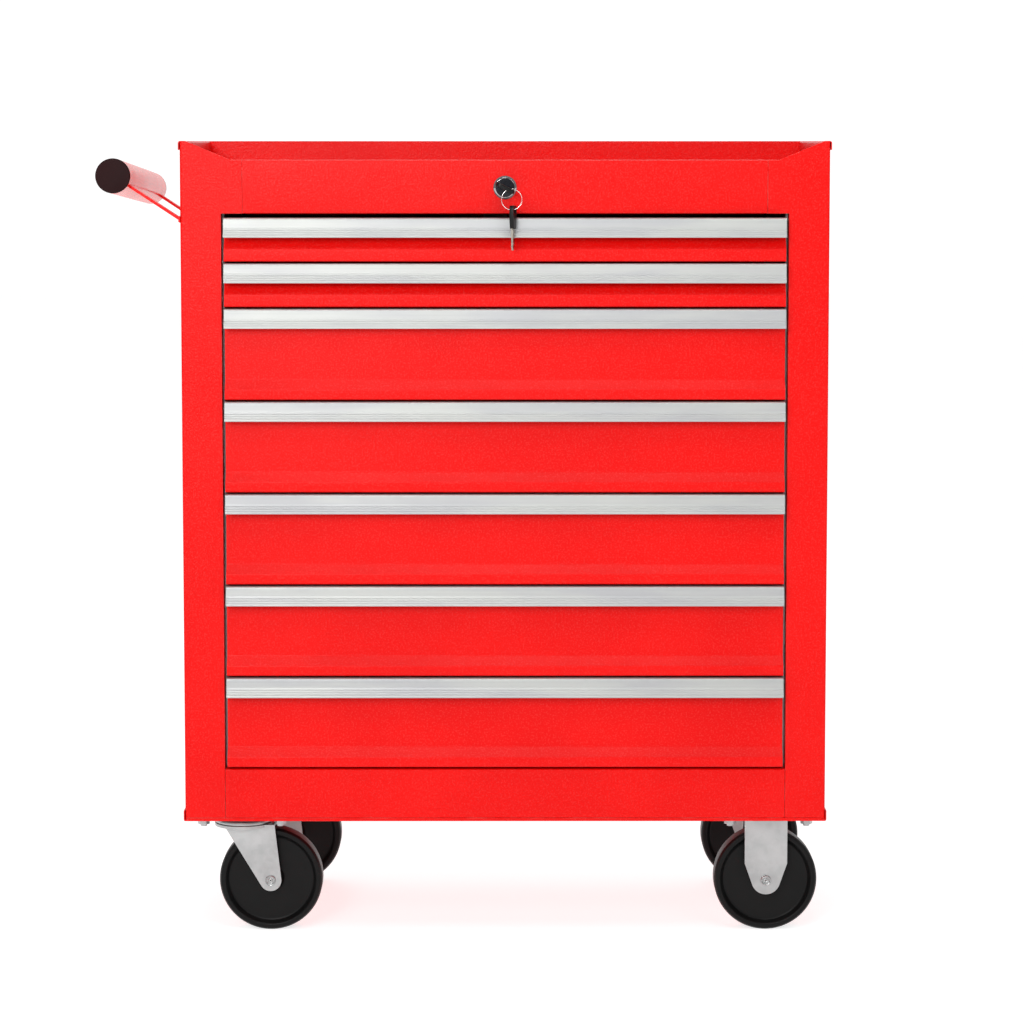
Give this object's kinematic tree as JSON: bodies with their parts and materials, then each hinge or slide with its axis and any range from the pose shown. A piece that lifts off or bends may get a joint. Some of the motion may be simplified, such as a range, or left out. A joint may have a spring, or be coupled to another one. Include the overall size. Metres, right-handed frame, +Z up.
{
  "type": "rolling tool chest",
  "caption": "Sheet steel tool chest on casters with sliding drawers, full-width pulls, an open top tray, a key lock and a side push handle.",
  "frame": {"origin": "on the floor under the centre of the whole chest's box, handle and key included", "axes": "+Z up, +Y towards the back (drawers open towards -Y), +X to the right seen from the front"},
  "size_m": [0.6948, 0.3556, 0.766],
  "materials": {
    "red_paint": "powder coat with fine orange peel, semi-gloss",
    "pull_aluminium": "satin anodised extrusion, brushed along its length",
    "zinc_plate": "bright zinc plate, satin",
    "nickel": "nickel plate",
    "lock_chrome": "polished",
    "lock_black": "gloss",
    "key_plastic": "satin moulded",
    "cap_plastic": "satin moulded",
    "wheel_plastic": "satin moulded"
  },
  "bodies": {
    "cabinet": {"left_side_panel": "red_paint", "right_side_panel": "red_paint", "back_panel": "red_paint", "back_screws": "zinc_plate", "bottom_pan": "red_paint", "top_tray": "red_paint", "front_top_rail": "red_paint", "front_bottom_rail": "red_paint", "slide_posts": "zinc_plate", "left_fixed_rails": "zinc_plate", "right_fixed_rails": "zinc_plate", "lock_housing": "lock_chrome", "lock_nut": "zinc_plate", "lock_guides": "zinc_plate", "handle_tube": "red_paint", "handle_caps": "cap_plastic", "handle_brackets": "red_paint", "swivel_plates": "zinc_plate", "swivel_balls": "nickel", "kingpins": "zinc_plate", "fixed_brackets": "zinc_plate", "caster_bolts": "zinc_plate", "fixed_axles": "zinc_plate"},
    "lock_cylinder": {"lock_plug": "lock_black", "lock_rod": "zinc_plate", "key_blade": "nickel", "key_grip": "key_plastic"},
    "locking_bar": {"lock_bar": "zinc_plate"},
    "ring": {"key_ring": "nickel"},
    "drawer_1": {"drawer_1_box": "red_paint", "drawer_1_pull": "pull_aluminium", "drawer_1_runners": "zinc_plate"},
    "drawer_2": {"drawer_2_box": "red_paint", "drawer_2_pull": "pull_aluminium", "drawer_2_runners": "zinc_plate"},
    "drawer_3": {"drawer_3_box": "red_paint", "drawer_3_pull": "pull_aluminium", "drawer_3_runners": "zinc_plate"},
    "drawer_4": {"drawer_4_box": "red_paint", "drawer_4_pull": "pull_aluminium", "drawer_4_runners": "zinc_plate"},
    "drawer_5": {"drawer_5_box": "red_paint", "drawer_5_pull": "pull_aluminium", "drawer_5_runners": "zinc_plate"},
    "drawer_6": {"drawer_6_box": "red_paint", "drawer_6_pull": "pull_aluminium", "drawer_6_runners": "zinc_plate"},
    "drawer_7": {"drawer_7_box": "red_paint", "drawer_7_pull": "pull_aluminium", "drawer_7_runners": "zinc_plate"},
    "front_swivel": {"front_fork": "zinc_plate", "front_swivel_axle": "zinc_plate"},
    "front_left_wheel": {"front_swivel_wheel": "wheel_plastic"},
    "front_right_wheel": {"front_fixed_wheel": "wheel_plastic"},
    "rear_swivel": {"rear_fork": "zinc_plate", "rear_swivel_axle": "zinc_plate"},
    "rear_left_wheel": {"rear_swivel_wheel": "wheel_plastic"},
    "rear_right_wheel": {"rear_fixed_wheel": "wheel_plastic"}
  },
  "joints": [
    {"name": "drawer_1_slide", "type": "slide", "parent": "cabinet", "child": "drawer_1", "axis": [0, -1, 0], "range_m": [0, 0.21]},
    {"name": "drawer_2_slide", "type": "slide", "parent": "cabinet", "child": "drawer_2", "axis": [0, -1, 0], "range_m": [0, 0.21]},
    {"name": "drawer_3_slide", "type": "slide", "parent": "cabinet", "child": "drawer_3", "axis": [0, -1, 0], "range_m": [0, 0.21]},
    {"name": "drawer_4_slide", "type": "slide", "parent": "cabinet", "child": "drawer_4", "axis": [0, -1, 0], "range_m": [0, 0.21]},
    {"name": "drawer_5_slide", "type": "slide", "parent": "cabinet", "child": "drawer_5", "axis": [0, -1, 0], "range_m": [0, 0.21]},
    {"name": "drawer_6_slide", "type": "slide", "parent": "cabinet", "child": "drawer_6", "axis": [0, -1, 0], "range_m": [0, 0.21]},
    {"name": "drawer_7_slide", "type": "slide", "parent": "cabinet", "child": "drawer_7", "axis": [0, -1, 0], "range_m": [0, 0.21]},
    {"name": "lock_turn", "type": "hinge", "parent": "cabinet", "child": "lock_cylinder", "pos_m": [0.0381, -0.14976, 0.722], "axis": [0, 1, 0], "range_deg": [0, 90.5]},
    {"name": "locking_bar_lift", "type": "slide", "parent": "cabinet", "child": "locking_bar", "axis": [0, 0, 1], "range_m": [0, 0.01697]},
    {"name": "ring_hang", "type": "hinge", "parent": "lock_cylinder", "child": "ring", "pos_m": [0.04134, -0.17276, 0.72035], "axis": [0, 1, 0], "range_deg": [-90.5, 0]},
    {"name": "front_caster_swivel", "type": "hinge", "parent": "cabinet", "child": "front_swivel", "pos_m": [-0.2169, -0.10176, 0.103], "axis": [0, 0, 1], "continuous": true},
    {"name": "front_left_wheel_spin", "type": "hinge", "parent": "front_swivel", "child": "front_left_wheel", "pos_m": [-0.1899, -0.10176, 0.05], "axis": [0, 1, 0], "continuous": true},
    {"name": "front_right_wheel_spin", "type": "hinge", "parent": "cabinet", "child": "front_right_wheel", "pos_m": [0.2916, -0.10176, 0.05], "axis": [0, 1, 0], "continuous": true},
    {"name": "rear_caster_swivel", "type": "hinge", "parent": "cabinet", "child": "rear_swivel", "pos_m": [-0.2089, 0.11224, 0.103], "axis": [0, 0, 1], "continuous": true},
    {"name": "rear_left_wheel_spin", "type": "hinge", "parent": "rear_swivel", "child": "rear_left_wheel", "pos_m": [-0.1819, 0.11224, 0.05], "axis": [0, 1, 0], "continuous": true},
    {"name": "rear_right_wheel_spin", "type": "hinge", "parent": "cabinet", "child": "rear_right_wheel", "pos_m": [0.2916, 0.11224, 0.05], "axis": [0, 1, 0], "continuous": true}
  ],
  "couplings": [
    {"joint": "lock_turn", "follows": "locking_bar_lift", "rad_per_m": 92.56},
    {"joint": "ring_hang", "follows": "locking_bar_lift", "rad_per_m": -92.56}
  ]
}
